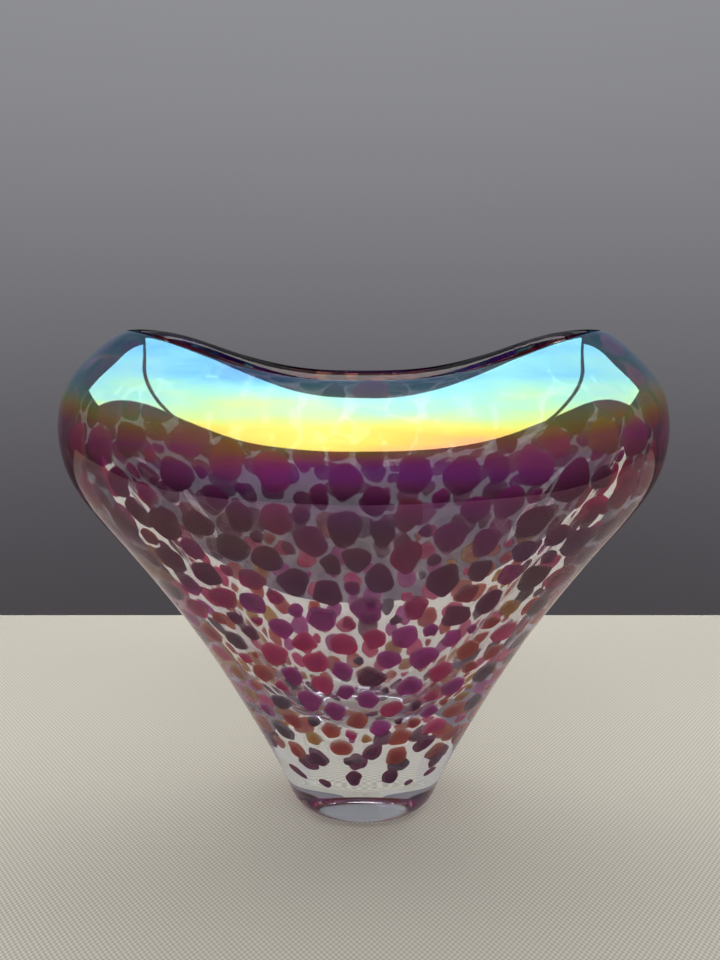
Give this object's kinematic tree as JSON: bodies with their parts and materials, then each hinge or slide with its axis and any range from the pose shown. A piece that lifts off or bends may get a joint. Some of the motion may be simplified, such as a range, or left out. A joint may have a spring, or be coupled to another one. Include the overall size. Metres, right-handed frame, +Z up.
{
  "type": "vase",
  "caption": "heart-shaped hand blown vase with a wide saddle mouth, coloured glass chips cased under clear rainbow glass, and a thick clear foot",
  "frame": {"origin": "centre of the flat underside of the foot, at the middle of the vase's outline", "axes": "+X across the two lobes, along the vase's width; +Y from the front face to the back face; +Z up from the foot to the mouth"},
  "size_m": [0.1636, 0.0726, 0.142],
  "materials": {
    "iridised_clear_glass": "clear casing glass, fire polished, with a thin fumed rainbow film that turns from blue through yellow to magenta",
    "clear_liner_glass": "clear blown glass with the chips' colour showing through",
    "milky_veil_glass": "thin milky white glass powder, cloudy between the chips",
    "ground_glass": "clear glass, ground flat and polished, with a faint haze",
    "plum_glass": "plum coloured glass chip, see-through, darker where it is thick",
    "amethyst_glass": "amethyst coloured glass chip, see-through, darker where it is thick",
    "ruby_glass": "ruby coloured glass chip, see-through, darker where it is thick",
    "russet_glass": "russet coloured glass chip, see-through, darker where it is thick",
    "amber_glass": "amber coloured glass chip, see-through, darker where it is thick",
    "smoke_glass": "smoke coloured glass chip, see-through, darker where it is thick"
  },
  "bodies": {
    "root": {"outer_casing": "iridised_clear_glass", "inner_liner": "clear_liner_glass", "pale_veil": "milky_veil_glass", "punty_seal": "ground_glass", "plum_frit": "plum_glass", "amethyst_frit": "amethyst_glass", "ruby_frit": "ruby_glass", "russet_frit": "russet_glass", "amber_frit": "amber_glass", "smoke_frit": "smoke_glass"}
  },
  "joints": []
}
